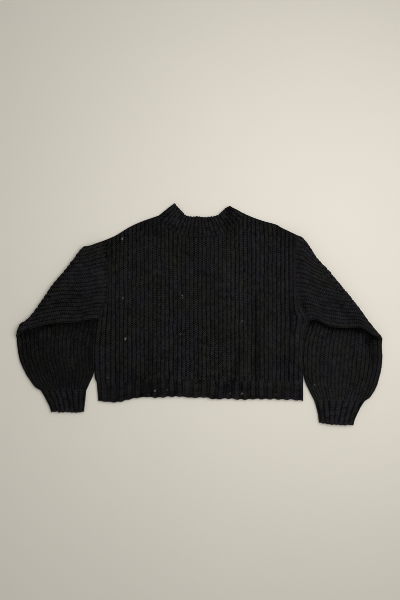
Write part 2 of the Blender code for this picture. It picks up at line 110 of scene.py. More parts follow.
# Soft folds of the body and of the sleeves: a line's two ends, its width, its height (below 0, a hollow).
# Each also paints the yarn: painted shade in a hollow, painted light on a ridge. Some, such as the wide
# ones over the shoulders and the cuffs and the ridge along the left sleeve's outer edge, are there mostly
# for that painted shade and light.
bodyFolds = [
    (141, 45, 142, -165, 9, -3.8), (147, -95, 150, -165, 10, -1.8), (232, 16, 233, -50, 10, -4.2),
    (225, -94, 222, -162, 11, -3.2), (102, -84, 84, -170, 9, -3.4), (90, -125, 78, -175, 15, -1.8),
    (119, -60, 120, -165, 9, 2.6), (177, -35, 180, -160, 17, 2.6), (248, -60, 248, -122, 9, 2.4),
    (255, 6, 257, -34, 10, 2.6), (-126, -55, -127, -140, 12, -2.4), (-200, -150, -125, -172, 30, -2.2),
    (-122, 230, -106, 204, 20, -2.8), (-232, 178, -229, 140, 10, -3.4), (-24, 147, -14, 137, 15, -2.4),
    (0, 108, 14, 94, 15, -2.2), (95, 238, 225, 192, 46, -2.4), (-205, 190, -92, 232, 46, -2.4),
    (50, 128, 70, 84, 30, 1.4), (236, 165, 236, 50, 8, 2.2), (-30, 193, 60, 195, 8, -2.2),
    (73, 268, 70, 214, 13, -3.2), (-66, 262, -58, 226, 13, 2), (-150, -176, -140, -212, 30, -1.6),
    (-262, -205, -125, -198, 26, -1.5), (75, -176, 70, -212, 12, -2.2), (119, -178, 118, -208, 9, 2),
    (222, -178, 222, -208, 10, -2),
]
sleeveFolds = [
    (-368, 22, -303, 50, 10, -2.8), (-306, 14, -287, -3, 10, -2.8), (-360, 2, -325, 12, 11, 1.6),
    (-262, 120, -285, 80, 26, 1.4), (-240, 176, -237, 140, 9, -2.8), (-300, 163, -418, 5, 12, -1.8),
    (-278, -35, -281, -130, 11, -3.4), (-420, -70, -402, -130, 20, -0.9), (-342, -75, -335, -118, 25, 1.8),
    (-345, -165, -292, -163, 15, -1.4), (-336, -196, -336, -246, 42, -1.4), (343, 31, 388, -17, 10, -3.6),
    (400, -44, 430, -66, 15, -4.6), (430, -66, 441, -118, 15, -5), (284, 148, 438, -14, 11, 2.4),
    (262, 30, 262, 8, 10, -2.4), (320, -70, 360, -160, 34, 1.2), (345, -226, 345, -276, 44, 2.2),
]


# 0 below 0 and 1 above 1, with the smooth step 3t^2 - 2t^3 between.
def blend(value):
    value = np.clip(value, 0, 1)
    return value * value * (3 - 2 * value)


# A bell: 1 at distance 0, falling to 1/e at its width.
def bell(distance, width):
    return np.exp(-((distance / width) ** 2))


# A table read at fractional row numbers: a cubic through each two rows that leans on those beside them.
def smoothRows(rows, station):
    rows = np.asarray(rows, float)
    ends = np.vstack([2 * rows[0] - rows[1], rows, 2 * rows[-1] - rows[-2]])
    station = np.asarray(station, float)
    row = np.clip(np.floor(station).astype(int), 0, len(rows) - 2)
    t = (station - row)[..., None]
    a, b, c, d = ends[row], ends[row + 1], ends[row + 2], ends[row + 3]
    return b + t * (c - a + t * (2 * a - 5 * b + 4 * c - d + t * (3 * (b - c) + d - a))) / 2


# The length of a chain of points up to each of them: its straight steps added up.
def chainLength(points):
    steps = np.linalg.norm(np.diff(np.asarray(points, float), axis=0), axis=1)
    return np.concatenate([[0], np.cumsum(steps)])


# Points of the smooth curve through a table, at places from 0 to 1 of its chain's length.
def along(points, place):
    reached = chainLength(points)
    return smoothRows(points, np.interp(place, reached / reached[-1], np.arange(len(points))))


curveSamples = 40  # to each point of a curve's table


# The other coordinate of a smooth curve where its x (by 0) or its y (by 1) is as wanted.
def readCurve(points, by, wanted):
    fine = smoothRows(points, np.linspace(0, len(points) - 1, curveSamples * len(points)))
    order = np.argsort(fine[:, by])
    return np.interp(wanted, fine[order, by], fine[order, 1 - by])


# A fixed number from -1 to 1 for each pair of whole numbers: both multiplied, mixed and cut to 32 bits.
def scatter(first, second, seed):
    bits = 0xFFFFFFFF
    first, second = np.asarray(first, np.int64), np.asarray(second, np.int64)
    mixed = (first * 374761393 + second * 668265263 + seed * 97463) & bits
    mixed = ((mixed ^ (mixed >> 13)) * 1274126177) & bits
    return (mixed ^ (mixed >> 16)) / 2.0**31 - 1


# Soft noise: the numbers of the four whole cells round a point, mixed by smooth steps.
def softNoise(x, y, seed):
    left, low = np.floor(x).astype(np.int64), np.floor(y).astype(np.int64)
    across, up = blend(x - left), blend(y - low)
    near, far = (scatter(left, low + n, seed) * (1 - across) + scatter(left + 1, low + n, seed) * across
                 for n in (0, 1))
    return near * (1 - up) + far * up


# How far the body and the sleeves' roots ride up: a bell round each spot of the table, added up.
def lift(x, y):
    total = np.zeros(np.shape(x))
    for spotX, spotY, height, spread in lifts:
        total += height * np.exp(-((x - spotX) ** 2 + (y - spotY) ** 2) / (2 * spread**2))
    return total


# Soft ridges and hollows added up, each a bell of the distance to the line between its two ends.
def foldHeight(x, y, folds):
    total = np.zeros(np.shape(x))
    for startX, startY, endX, endY, width, height in folds:
        runX, runY = endX - startX, endY - startY
        length = math.hypot(runX, runY)
        place = ((x - startX) * runX + (y - startY) * runY) / length**2
        off = ((x - startX) * runY - (y - startY) * runX) / length
        past = np.maximum(np.abs(place - 0.5) - 0.5, 0) * length
        total += height * np.exp(-2 * (off**2 + past**2) / width**2)
    return total


# The skin near an edge: a quarter circle, then straight. s runs along the skin from the edge's outermost
# line. Gives how far in from it the skin lies and how far under the face. Past it a sewn edge (down 1) runs
# straight down, a turned one (down 0) level, and an open one on round the circle and in along its inside.
def edgeProfile(s, radius, down, isOpen=False):
    least = -quarter if isOpen else 0.0
    angle = np.clip(s / radius, least, quarter)
    inward = radius * (1 - np.cos(angle)) + np.maximum(s - radius * quarter, 0)
    drop = radius * (1 - np.sin(angle))
    beyond = np.maximum(least * radius - s, 0)
    return inward + beyond * (1 - down), drop + beyond * down


# Along a skin between two rolled ends: its share gives the place, from 0 to 1 of the plain length, and how
# far under the face it lies.
def endToEnd(share, up, length, rolls, downs, opens):
    skinLength = length + (rolls[0] + rolls[1]) * (quarter - 1)
    fromLow = share * skinLength + up["lowRun"][:, None]
    fromHigh = (1 - share) * skinLength + up["highRun"][:, None]
    lowIn, lowDrop = edgeProfile(fromLow, rolls[0], downs[0], opens[0])
    highIn, highDrop = edgeProfile(fromHigh, rolls[1], downs[1], opens[1])
    inLow = share < 0.5
    return np.where(inLow, lowIn / length, 1 - highIn / length), np.where(inLow, lowDrop, highDrop)


# Round a flattened tube: the share a runs from its first edge over the upper face to its second and back
# below, at even lengths of skin. Gives the place across, from 0 to 1, and the height over its middle.
def roundTube(a, width, half):
    halfRound = width + 2 * skin * (quarter - 1)
    s = halfRound * np.where(a < 0.5, 2 * a, 2 - 2 * a)
    first = s < halfRound / 2
    inward, drop = edgeProfile(np.where(first, s, halfRound - s), skin, 0.0)
    inward = np.where(inward < skin, skin - (skin - inward) * half / skin, inward)
    height = (skin - drop) * half / skin * np.where(a < 0.5, 1, -1)
    return np.where(first, inward, width - inward) / width, height


# A whole repeat from its rows up to the middle: each other row comes again at 1 less its share.
def mirrored(half):
    return half + [(round(1 - share, 2), *rest) for share, *rest in half[-2:0:-1]]


# One repeat of each knit, from the middle of a stitch or rib to the middle of the next, a row for each line
# of points across it: the share of its width, the height, how far the yarn climbs by there in courses, how
# deep the crease between two courses is (between two columns, a hole), and how much painted shade darkens
# the yarn there, as down in a groove.
plainKnit = mirrored([
    (0, -0.6, 0, 0.9, 0.15), (0.17, 0, 0.45, 0.6, 0), (0.35, -0.5, 0.86, 1.2, 0.18),
    (0.5, -1.3, 0.95, 1.8, 0.6),
])
sleeveKnit = mirrored([
    (0, -0.6, 0, 0.9, 0.15), (0.17, 0, 0.45, 0.6, 0), (0.35, -0.5, 0.86, 1.2, 0.16),
    (0.5, -1.2, 0.95, 1.8, 0.42),
])
backKnit = mirrored([(0, -0.55, 0, 0.9, 0.2), (0.25, -0.05, 0.6, 0.9, 0), (0.5, -1.3, 0.95, 2.2, 0.4)])
wideRib = mirrored([
    (0, -0.5, 0, 0.9, 0.15), (0.09, 0, 0.28, 0.8, 0), (0.17, -0.2, 0.55, 0.9, 0),
    (0.25, -1, 0.85, 1.5, 0.22), (0.33, -1.8, 0.8, 1.7, 0.42), (0.42, -1.7, 0.3, 0.9, 0.26),
    (0.5, -1.6, 0, 0.9, 0.2),
])
neckRib = mirrored([
    (0, -0.45, 0, 0.8, 0.15), (0.13, -0.05, 0.35, 0.8, 0), (0.25, -0.7, 0.7, 1.2, 0.1),
    (0.38, -1.7, 0.3, 1.2, 0.32), (0.5, -2, 0, 1, 0.48),
])
cuffRib = mirrored([
    (0, -0.4, 0, 0.8, 0.1), (0.13, -0.05, 0.35, 0.8, 0), (0.25, -0.7, 0.7, 1, 0),
    (0.38, -1.7, 0.3, 1.1, 0.34), (0.5, -2.2, 0, 1, 0.62),
])
# One course, from the middle of one row of stitches to the middle of the next: the share of its height, and
# how far down into the crease between the two rows it is.
fineCourse = [(0, 0), (0.26, 0.25), (0.5, 1), (0.75, 0.62)]
plainCourse = [(0, 0.05), (0.33, 0.1), (0.6, 1)]

knits = {
    "creaseDepth": 0.85,  # between two stitches of a column
    "deepest": -3.5,  # no hole goes deeper
    "unevenColumn": 0.35,  # how much the depth between columns varies, as a share
    "unevenStitch": 0.55,  # how much the size of one stitch varies, as a share
    "cloudy": 0.20,  # how much the depth varies over wide patches, as a share
    "cloudyRate": (0.17, 0.14),  # patches to a column and to a course
    "waver": 0.12,  # how far a column strays sideways, in columns
    "waverRate": (0.45, 0.16),  # strayings to a column and to a course
    "slack": 0.30,  # how far a stitch lies higher or lower than its neighbours
    "fadeCourses": 1.0,  # how many courses the slant takes to die out towards a piece's ends
    "seamFade": 4.0,  # over what width the stitches die out at a seam
    "seamDark": 0.30,  # how dark the yarn is there, as a share of the darkest hole
    "joinDark": (0.16, 0.25),  # how much darker it is where pieces are knitted on, over how many courses
    "endSoft": (0.6, 0.8),  # how much shallower the last creases of a piece are, over how many courses
    "endRows": 3,  # rows at a knitted-on end that move the way the next one in does
    # painted shade in the creases between courses: darkens the yarn's colour there
    "paintedCreaseShade": 0.80,  # how dark the creases between courses are
    # painted shade and painted light of the folds: the yarn's colour darkens for each millimetre down in a
    # hollow and lightens for each millimetre up on a ridge
    "foldShadeAndLight": 0.055,  # how much darker the yarn is for each millimetre down in a fold
    "lump": 0.40,  # how far the whole knit bulges in and out
    "lumpSizes": (17.0, 7.0),  # over patches of these sizes
    "lumpSeed": 7,
    "squeeze": 6.0,  # how softly a column that a seam cuts off ends in the seam's edge
    "spread": 5.0,  # how many columns beside a side seam lie wider or closer to follow it
}


# The lines of a grid one way, from a table of one repeat: the share of the whole way and the repeats by
# there, the table's other columns, the run past either end, one line for each lip, 1 on the face and 0 on
# the lips, and how much of the stitches' height is left: none on a sewn lip, less and less round an open
# one. Without lips the grid closes on itself.
def gridLines(table, repeats, lowLips=(), highLips=()):
    table = np.array(table, float)
    place = (np.arange(repeats)[:, None] + table[:, 0]).ravel()
    columns = np.tile(table[:, 1:], (repeats, 1))
    edge = table[:1, 1:]
    if lowLips:
        place = np.append(place, repeats)
        columns = np.vstack([columns, edge])
    low, high = np.array(lowLips, float)[::-1], np.array(highLips, float)
    face = np.ones(len(place))
    share = np.concatenate([0 * low, place / repeats, 1 + 0 * high])

    def left(run):
        return 0 * run if len(run) == len(lips) else blend(1 - run / cloth["lipFade"])

    return {
        "repeats": repeats,
        "closed": not lowLips,
        "share": share,
        "at": share * repeats,
        "columns": np.vstack([np.repeat(edge, len(low), 0), columns, np.repeat(edge, len(high), 0)]),
        "lowRun": np.concatenate([-low, 0 * face, 0 * high]),
        "highRun": np.concatenate([0 * low, 0 * face, -high]),
        "whole": np.concatenate([0 * low, face, 0 * high]),
        "rise": np.concatenate([left(low), face, left(high)]),
    }


# The shares up a grid at every point: the row's own, and the slant of the yarn there, as much up as down,
# which dies out at both ends.
def slantedShares(across, up):
    course = up["at"][:, None]
    fade = blend(course / knits["fadeCourses"]) * blend((up["repeats"] - course) / knits["fadeCourses"])
    climb = across["columns"][None, :, 1]
    slant = (climb - climb.max() / 2) * fade * up["whole"][:, None]
    return up["share"][:, None] + slant / up["repeats"]


# The shares across a grid at every point: each column strays a little sideways, as soft noise, but not
# within two columns of an end.
def wavingShares(across, up, seed):
    column, course = across["at"][None], up["at"][:, None]
    rateAcross, rateUp = knits["waverRate"]
    stray = knits["waver"] * softNoise(column * rateAcross, course * rateUp, seed)
    if not across["closed"]:
        stray = stray * blend(column / 2) * blend((across["repeats"] - column) / 2)
    return across["share"][None] + stray * across["whole"][None] / across["repeats"]


# The height of the stitches over a piece's face: the repeat's own height, each column and each wide patch a
# little deeper or shallower, less the crease between two courses, with each stitch a little fuller or
# flatter. Gives the painted shade that darkens the yarn in grooves, holes and creases too, worked out the
# same way, and that unevenness.
def stitchRelief(across, up, seed):
    place, level = across["at"], up["at"][:, None]
    column = np.floor(place + 0.5).astype(int)[None]
    leg = np.floor(place * 2).astype(int)[None]
    stitch = np.floor(level + 0.5).astype(int)
    gap = np.floor(level).astype(int)
    height, _, creased, dark = (across["columns"][None, :, n] for n in range(4))
    softer, reach = knits["endSoft"]
    fromEnd = np.minimum(level, up["repeats"] - level)
    inCrease = up["columns"][:, :1] * (1 - softer * bell(fromEnd, reach))
    rateAcross, rateUp = knits["cloudyRate"]
    patch = softNoise(place[None] * rateAcross, level * rateUp, seed + 3)
    deep = 1 + knits["unevenColumn"] * scatter(column, 0 * column, seed) + knits["cloudy"] * patch
    uneven = scatter(leg, stitch, seed + 1)
    tight = (1 + knits["unevenStitch"] * scatter(column, gap, seed + 2)) * creased * inCrease
    slack = knits["slack"] * uneven * np.minimum(creased, 1) * (1 - inCrease)
    relief = np.maximum(height * deep - knits["creaseDepth"] * tight + slack, knits["deepest"])
    return relief, dark * deep + knits["paintedCreaseShade"] * tight, uneven


leastStep = 0.01  # between two lips, whose usual distance is 0


# How much room each point of a grid has across, as a share of its repeat's usual width, at most 1: the
# distance between its two neighbours over the usual one. Lips count as having all their room.
def columnRoom(base, across, pitch):
    place, whole = across["at"], across["whole"]
    step = np.linalg.norm(np.roll(base, -1, 1) - np.roll(base, 1, 1), axis=2)
    usual = np.mod(np.roll(place, -1) - np.roll(place, 1), across["repeats"]) * pitch
    onFace = whole * np.roll(whole, 1) * np.roll(whole, -1) > 0
    return np.where(onFace[None], np.clip(step / np.maximum(usual, leastStep)[None], 0, 1), 1.0)


# Outward normals of a grid: the cross product of its steps across and up.
def gridNormals(points, closed):
    if closed:
        wide = np.concatenate([points[:, -1:], points, points[:, :1]], axis=1)
        stepAcross = wide[:, 2:] - wide[:, :-2]
    else:
        stepAcross = np.gradient(points, axis=1)
    normal = np.cross(stepAcross, np.gradient(points, axis=0))
    return normal / np.maximum(np.linalg.norm(normal, axis=2, keepdims=True), 1e-9)


# Bits of pale fluff caught in the wool, on what looks up: x, y, size, and how pale
flecks = [
    (-189.2, -62.7, 1.6, 1.0), (-197.1, 191.3, 1.5, 0.9), (-195.6, 41.4, 1.6, 0.35),
    (-44.7, 47.8, 1.3, 0.5), (-44.7, 42.0, 1.3, 0.35), (106.7, -17.0, 1.3, 0.45),
    (-49.0, -50.0, 1.3, 0.25), (-114.3, -194.8, 1.4, 0.7), (-129.5, -194.8, 1.2, 0.3),
    (-129.5, -202.4, 1.3, 0.45), (-83.8, -192.3, 1.2, 0.3), (76.2, -201.2, 1.2, 0.3),
    (106.7, -201.2, 1.4, 0.7), (191.5, -204.0, 1.2, 0.25), (-232.9, -161.8, 1.2, 0.3),
    (290.3, -179.1, 1.4, 0.5),
]
leastUp = 0.3  # upward part of the normal from which a face counts as looking up


# Puts new data into the scene as an object of the same name.
def addObject(name, data):
    made = bpy.data.objects.new(name, data)
    bpy.context.scene.collection.objects.link(made)
    return made


# Puts a grid of points into a mesh: four-sided faces between neighbours, turned round for a face that looks
# down. Each point also keeps, as its depth, how dark its yarn is painted (painted shade in grooves,
# creases, fold hollows and lips, painted light on fold ridges, painted shadow on the sleeves, and darker
# seams), the tone of its stitch, how pale the nearest fluff makes it (a bell of the distance), and its
# column and course as a map.
def addGrid(name, points, normals, across, up, faceDown, depth, tone, material):
    rows, columns = points.shape[:2]
    number = np.arange(rows * columns).reshape(rows, columns)
    mapAcross = np.broadcast_to(across["at"], (rows, columns))
    mapUp = np.broadcast_to(up["at"][:, None], (rows, columns))
    if across["closed"]:
        number = np.hstack([number, number[:, :1]])
        mapAcross = np.hstack([mapAcross, np.full((rows, 1), float(across["repeats"]))])
        mapUp = np.hstack([mapUp, mapUp[:, :1]])

    def corners(grid):
        four = [grid[:-1, :-1], grid[:-1, 1:], grid[1:, 1:], grid[1:, :-1]]
        if faceDown:
            four = four[::-1]
        return np.stack([corner.ravel() for corner in four], axis=1)

    faces = corners(number)
    points = points.copy()
    points[..., 2] = np.maximum(points[..., 2], cloth["lowest"])
    placed = (points - np.array((*cloth["centre"], 0.0))) * mm
    mesh = bpy.data.meshes.new(name)
    mesh.vertices.add(rows * columns)
    mesh.vertices.foreach_set("co", placed.ravel())
    mesh.loops.add(faces.size)
    mesh.loops.foreach_set("vertex_index", faces.ravel().astype(np.int32))
    mesh.polygons.add(len(faces))
    mesh.polygons.foreach_set("loop_start", np.arange(0, faces.size, 4, dtype=np.int32))
    mesh.update(calc_edges=True)
    mesh.shade_smooth()
    yarnMap = mesh.uv_layers.new(name="yarn")
    yarnMap.data.foreach_set("uv", np.stack([corners(mapAcross), corners(mapUp)], axis=2).ravel())
    pale = np.zeros((rows, columns))
    for x, y, size, share in flecks:
        away = (points[..., 0] - x) ** 2 + (points[..., 1] - y) ** 2
        pale = np.maximum(pale, share * np.exp(-away / size**2) * (normals[..., 2] > leastUp))
    for label, values in (("depth", depth), ("tone", tone), ("fluff", pale)):
        layer = mesh.attributes.new(label, "FLOAT", "POINT")
        layer.data.foreach_set("value", values.ravel().astype(np.float32))
    mesh.materials.append(material)
    print("made", name, "with", 2 * len(faces), "triangles")
    return addObject(name, mesh)


# Finishes a piece: its smooth skin moves out along its normals by the stitches and by soft lumps, which die
# out where columns are squeezed together and at sewn edges, where the yarn is dark. A knitted-on end keeps
# its stitches: its edge and lips move the way a row further in does. Folds raise and hollow what looks up,
# and only hollow what looks down. Painted shade darkens the yarn in the folds' hollows and painted light
# lightens it on their ridges; the yarn is also darker at knitted-on ends and where shaded says so, and the
# lips turned in past the edges get the darkest colour as painted shade.
def knitPiece(name, base, across, up, face, seed, material, pitch, sewn, knitted, folds, shaded=0.0):
    normals = gridNormals(base, across["closed"]) * face
    relief, dark, uneven = stitchRelief(across, up, seed)
    courseHeight = np.linalg.norm(np.diff(base, axis=0), axis=2).sum(0).mean() / up["repeats"]
    course, column = up["at"][:, None], across["at"]
    toEnd = {"start": course, "end": up["repeats"] - course}
    toSide = np.minimum(column, across["repeats"] - column) * pitch
    onFace = np.flatnonzero(up["whole"])
    rise = up["rise"].copy()
    left = columnRoom(base, across, pitch)
    darker, reach = knits["joinDark"]
    shaded = shaded + darker * sum(bell(toEnd[end], reach) for end in knitted)
    for edge in sewn:
        distance = toSide if edge == "sides" else toEnd[edge] * courseHeight
        left = left * blend(distance / knits["seamFade"])
    rows = knits["endRows"]
    if "start" in knitted:
        normals[:onFace[rows]] = normals[onFace[rows]]
        rise[:onFace[0]] = 1
    if "end" in knitted:
        normals[onFace[-rows]:] = normals[onFace[-rows - 1]]
        rise[onFace[-1] + 1:] = 1
    left = left * rise[:, None] * across["rise"][None]
    for size in knits["lumpSizes"]:
        lumps = softNoise(base[..., 0] / size, base[..., 1] / size, knits["lumpSeed"])
        relief = relief + knits["lump"] * lumps
    folded = foldHeight(base[..., 0], base[..., 1], folds) * blend(2 * np.abs(normals[..., 2]))
    folded = np.where(normals[..., 2] > 0, folded, np.minimum(folded, 0))
    relief = (relief + cloth["proud"] + folded) * left
    whole = up["whole"][:, None] * across["whole"][None]
    # painted shade: the lips turned in past the edges (1 - whole) get the darkest yarn colour
    dark = dark * left + knits["seamDark"] * (1 - left) + shaded - knits["foldShadeAndLight"] * folded + 1 - whole
    return addGrid(name, base + normals * relief[..., None], normals, across, up, face < 0,
                   np.clip(dark, 0, 1), uneven, material)


# The patch that fills four edges, at every u across and v up: both pairs of edges mixed, less the corners.
def coons(shape, u, v):
    u3, v3 = u[..., None], v[..., None]
    across = (1 - v3) * shape["bottom"](u) + v3 * shape["top"](u)
    up = (1 - u3) * shape["right"](v) + u3 * shape["left"](v)
    ends = np.array((0.0, 1.0))
    low, high = shape["bottom"](ends), shape["top"](ends)
    corners = (1 - u3) * ((1 - v3) * low[0] + v3 * high[0]) + u3 * ((1 - v3) * low[1] + v3 * high[1])
    return across + up - corners


# How far along the skin a straight column lies from a side that cuts it. Its plain distance is kept above 0
# by (d + sqrt(d^2 + w^2)) / 2, so the columns that a side cuts off end squeezed into its edge, and the few
# beside it lie wider or closer so that the outermost one is at 0.
def cutDistance(distance, atSide, fromSide, extra):
    width = knits["squeeze"]
    fade = blend(1 - fromSide / knits["spread"])
    outermost = (atSide + np.sqrt(atSide**2 + width**2)) / 2
    return (distance + np.sqrt(distance**2 + width**2)) / 2 - outermost * fade + extra * (1 - fade)


# One flat panel's skin: each point's distance along the skin from its nearest side and end gives how far in
# and how far under the face it lies, and the patch of the four edges its place. The columns run straight up
# from the hem. Places across and up depend a little on each other, so they are worked out twice.
def panelSkin(shape, across, up, face, seed):
    share = slantedShares(across, up)
    column = wavingShares(across, up, seed)
    onRight = across["share"][None] < 0.5
    fromSide = np.where(onRight, column, 1 - column) * across["repeats"] * shape["columnsPerRepeat"]
    start, run = shape["knitStart"], shape["knitWidth"]
    v = share
    for _ in range(2):
        right, left = shape["right"](v)[..., 0], shape["left"](v)[..., 0]
        width = left - right
        radius = shape["sideRadius"](v)
        distance = np.where(onRight, start + column * run - right, left - start - column * run)
        atSide = np.where(onRight, start - right, left - start - run)
        s = cutDistance(distance, atSide, fromSide, radius * (quarter - 1))
        s = s + np.where(onRight, across["lowRun"], across["highRun"])
        inward, sideDrop = edgeProfile(s, radius, shape["sideDown"](v))
        inward = inward + cloth["seamGap"]
        u = np.where(onRight, inward / width, 1 - inward / width)
        height = shape["top"](u)[..., 1] - shape["bottom"](u)[..., 1]
        isOpen = shape["lowOpen"]
        v, endDrop = endToEnd(share, up, height, (shape["lowRadius"], shape["topRadius"](u)),
                              (1 - isOpen, shape["topDown"](u)), (isOpen, False))
    half = np.maximum(skin - sideDrop - endDrop, leastHalf)
    flat = coons(shape, u, v)
    x, y = flat[..., 0], flat[..., 1]
    fromEdge = np.minimum(inward, (1 - v) * height)
    swell = shape["swell"] * blend((fromEdge - cloth["swellStart"]) / cloth["swellMargin"])
    uneven = cloth["uneven"] * softNoise(x / cloth["patch"], y / cloth["patch"], seed)
    swell = swell * (cloth["fullness"] + uneven)
    return np.dstack([x, y, middle + lift(x, y) + face * (half + swell)])


# How far an open edge hangs past its line at a place across: further at each rib's crest, and soft noise.
def ragged(place, ribs, seed):
    wave = cloth["scallop"] * np.cos(2 * math.pi * place * ribs)
    return wave + cloth["ragged"] * softNoise(place * ribs * cloth["raggedSize"], 0 * place, seed)


# Height of the hem's open edge, or of the line between hem rib and body above it, at any x.
def hemY(x, above):
    edge = np.array(outline["hemEdge"])
    return np.interp(x, edge[:, 0], edge[:, 1]) + above


# The body's upper edge at any x: a shoulder, the neck seam, or the other shoulder.
def topY(x):
    neck = outline["neckSeam"]
    shoulder = outline["shoulder"]
    outer = np.where(x < 0, readCurve(shoulder["right"], 0, x), readCurve(shoulder["left"], 0, x))
    return np.where((x < neck[0][0]) | (x > neck[-1][0]), outer, readCurve(neck, 0, x))


# The x of one of the body's sides at any y: the side seam below the armpit, the armhole above it.
def sideX(side, y):
    below = readCurve(outline["sideSeam"][side], 1, y)
    above = readCurve(outline["armhole"][side], 1, y)
    return np.where(y < outline["armhole"][side][0][1], below, above)


# An edge whose x runs evenly between two ends, with its y worked out from x and the share u of the way.
def edgeOver(start, finish, heightAt):
    def points(u):
        x = start + u * (finish - start)
        return np.stack([x, heightAt(x, u)], axis=-1)
    return points


# The body's four edges, and what each does: sides turned below the armpits and sewn above them, shoulders
# turned, neck sewn, hem knitted on.
def bodyShape(front):
    lowX = {side: outline["sideSeam"][side][0][0] for side in sides}
    topX = {side: outline["armhole"][side][-1][0] for side in sides}
    topWidth = topX["left"] - topX["right"]

    def hemLine(x, u=0):
        return hemY(x, outline["hemHeight"]) + cloth["joinGap"]

    def edge(side):
        low, high = hemLine(lowX[side]), outline["armhole"][side][-1][1]

        def points(v):
            y = low + v * (high - low)
            return np.stack([sideX(side, y), y], axis=-1)
        return points

    low, high = hemLine(lowX["right"]), outline["armhole"]["right"][-1][1]
    pit = (outline["armhole"]["right"][0][1] - low) / (high - low)
    neckStart, neckEnd = ((outline["neckSeam"][end][0] - topX["right"]) / topWidth for end in (0, -1))

    def past(distance):
        return blend(distance / cloth["turnShare"] + 0.5)

    def sewnSide(v):
        return past(v - pit)

    def atNeck(u):
        return past(u - neckStart) * past(neckEnd - u)

    roll = cloth["seamRoll"]
    return {
        "bottom": edgeOver(lowX["right"], lowX["left"], hemLine),
        "top": edgeOver(topX["right"], topX["left"], lambda x, u: topY(x)),
        "right": edge("right"), "left": edge("left"),
        "sideRadius": lambda v: skin + (roll - skin) * sewnSide(v),
        "sideDown": sewnSide,
        "topRadius": lambda u: skin + (roll - skin) * atNeck(u),
        "topDown": atNeck,
        "lowRadius": cloth["joinRoll"], "lowOpen": False, "swell": 1.0 if front else 0.0,
        "knitStart": lowX["right"], "knitWidth": lowX["left"] - lowX["right"],
        "columnsPerRepeat": 1,
    }


# The hem rib's four edges: sides turned all the way, knitted on above and open below.
def hemShape():
    highX = [outline["sideSeam"][side][0][0] for side in sides]

    def openEdge(x, u):
        return hemY(x, 0) - ragged(u, body["hemRibs"], body["seed"])

    def bodyLine(x, u):
        return hemY(x, outline["hemHeight"]) - cloth["joinGap"]

    bottom = edgeOver(outline["hemEdge"][0][0], outline["hemEdge"][-1][0], openEdge)
    top = edgeOver(*highX, bodyLine)

    def edge(end):
        start, finish = bottom(np.array(end)), top(np.array(end))
        return lambda v: start + (finish - start) * v[..., None]

    return {
        "bottom": bottom, "top": top, "right": edge(0.0), "left": edge(1.0),
        "sideRadius": lambda v: skin + 0 * v, "sideDown": lambda v: 0 * v,
        "topRadius": lambda u: cloth["joinRoll"] + 0 * u, "topDown": lambda u: 1 + 0 * u,
        "lowRadius": cloth["wall"] / 2, "lowOpen": True, "swell": 0.0,
        "knitStart": highX[0], "knitWidth": highX[1] - highX[0],
        "columnsPerRepeat": 2,
    }


body = {
    "columns": 50,  # columns of stitches across the front
    "courses": 72,  # courses from the hem rib to the neck
    "hemRibs": 25,
    "hemCourses": 8,
    "neckDark": (0.35, 0.6),  # how much darker the yarn is along the neck seam, over how many courses
    "seed": 11,
    "hemSeeds": (5, 7),  # added to that for the hem rib's skin and for its stitches
}


# Front or back panel: face 1 looks up, -1 down. The yarn darkens by a bell of the distance to the neck.
def makePanel(name, face, knitTable, courseTable, material):
    shape = bodyShape(face > 0)
    across = gridLines(knitTable, body["columns"], lips, lips)
    up = gridLines(courseTable, body["courses"], lips, lips)
    base = panelSkin(shape, across, up, face, body["seed"])
    dark, reach = body["neckDark"]
    fromTop = (1 - up["share"][:, None]) * body["courses"]
    shaded = dark * bell(fromTop, reach) * shape["topDown"](across["share"])[None]
    return knitPiece(name, base, across, up, face, body["seed"] + face, material,
                     shape["knitWidth"] / body["columns"], ("end", "sides"), ("start",), bodyFolds, shaded)


# Hem rib of the front or the back, made the same way.
def makeHem(name, face, courseTable, material):
    shape = hemShape()
    across = gridLines(wideRib, body["hemRibs"], lips, lips)
    up = gridLines(courseTable, body["hemCourses"], openLips, lips)
    skinSeed, stitchSeed = (body["seed"] + more for more in body["hemSeeds"])
    base = panelSkin(shape, across, up, face, skinSeed)
    return knitPiece(name, base, across, up, face, stitchSeed + face, material,
                     shape["knitWidth"] / body["hemRibs"], ("sides",), ("end",), bodyFolds)


normalStep = 1e-4  # share of a sheet either way that its normal is worked out from


# A tube laid flat: its skin is its middle sheet moved off along the sheet's normal. Rows run by length of
# skin. Each end has its roll's radius, and the second one may be open. Its last argument says where the
# tube is pressed thinner than usual, and how much painted shadow darkens it there.
def tubeSkin(sheet, widthAt, lengthAt, across, up, seed, rolls, endOpen, thinAndShadowAt=None):
    share = slantedShares(across, up)
    a = np.mod(wavingShares(across, up, seed), 1.0)
    rough, _ = roundTube(a, widthAt(0.5 + 0 * a, 0 * a), skin)
    length = lengthAt(rough)
    ring, drop = endToEnd(share, up, length, rolls, (1, 1 - endOpen), (False, endOpen))
    place, height = roundTube(a, widthAt(rough, ring), np.maximum(skin - drop, leastHalf))
    overStep = sheet(place + normalStep, ring) - sheet(place - normalStep, ring)
    onStep = sheet(place, ring + normalStep) - sheet(place, ring - normalStep)
    normal = np.cross(overStep, onStep)
    normal /= np.linalg.norm(normal, axis=2, keepdims=True)
    point = sheet(place, ring)
    thin, shaded = thinAndShadowAt(point) if thinAndShadowAt else (0.0, 0.0)
    return point + normal * (height * (1 - thin))[..., None], shaded


